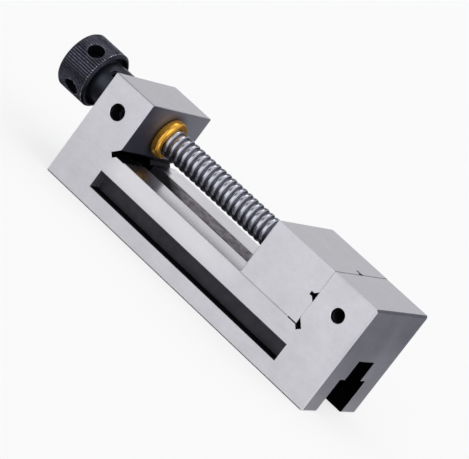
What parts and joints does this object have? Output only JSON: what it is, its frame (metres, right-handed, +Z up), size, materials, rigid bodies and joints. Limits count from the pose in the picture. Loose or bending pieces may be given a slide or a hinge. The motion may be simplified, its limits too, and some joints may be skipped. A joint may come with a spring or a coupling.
{
  "type": "quick-clamping machine vise",
  "caption": "Ground steel toolmaker's vise with a screw-driven sliding jaw, bronze nut, inverted tee slot and a black knurled knob with tommy-bar holes.",
  "frame": {"origin": "on the underside plane, under the middle of the overall length (knob end to fixed-jaw end) and in the middle of the width", "axes": "+X along the lead screw from the knob to the fixed jaw, +Y across the rails away from the side with the tapped holes, +Z up from the underside to the jaw tops"},
  "size_m": [0.229, 0.063, 0.0643],
  "materials": {
    "ground_steel": "surface-ground bright tool steel",
    "nut_bronze": "turned bronze, satin",
    "black_screw_steel": "black oxide alloy steel",
    "bright_pin_steel": "ground dowel steel",
    "plate_steel": "milled steel",
    "screw_steel": "turned bright steel",
    "black_oxide_steel": "knurled, black oxide"
  },
  "bodies": {
    "base": {"vise_body": "ground_steel", "flanged_nut": "nut_bronze", "nut_lock_screw": "black_screw_steel"},
    "jaw": {"movable_jaw": "ground_steel", "retaining_pins": "bright_pin_steel", "thrust_pad": "bright_pin_steel", "hold_down_plate": "plate_steel", "hold_down_screws": "black_screw_steel"},
    "screw": {"lead_screw": "screw_steel", "clamping_knob": "black_oxide_steel", "knob_set_screw": "black_screw_steel"}
  },
  "joints": [
    {"name": "jaw_slide", "type": "slide", "parent": "base", "child": "jaw", "axis": [-1, 0, 0], "range_m": [0, 0.085]},
    {"name": "screw_turn", "type": "hinge", "parent": "jaw", "child": "screw", "pos_m": [0, 0, 0.0475], "axis": [-1, 0, 0], "range_deg": [0, 7651]}
  ],
  "couplings": [
    {"joint": "screw_turn", "follows": "jaw_slide", "rad_per_m": 1570.8}
  ]
}
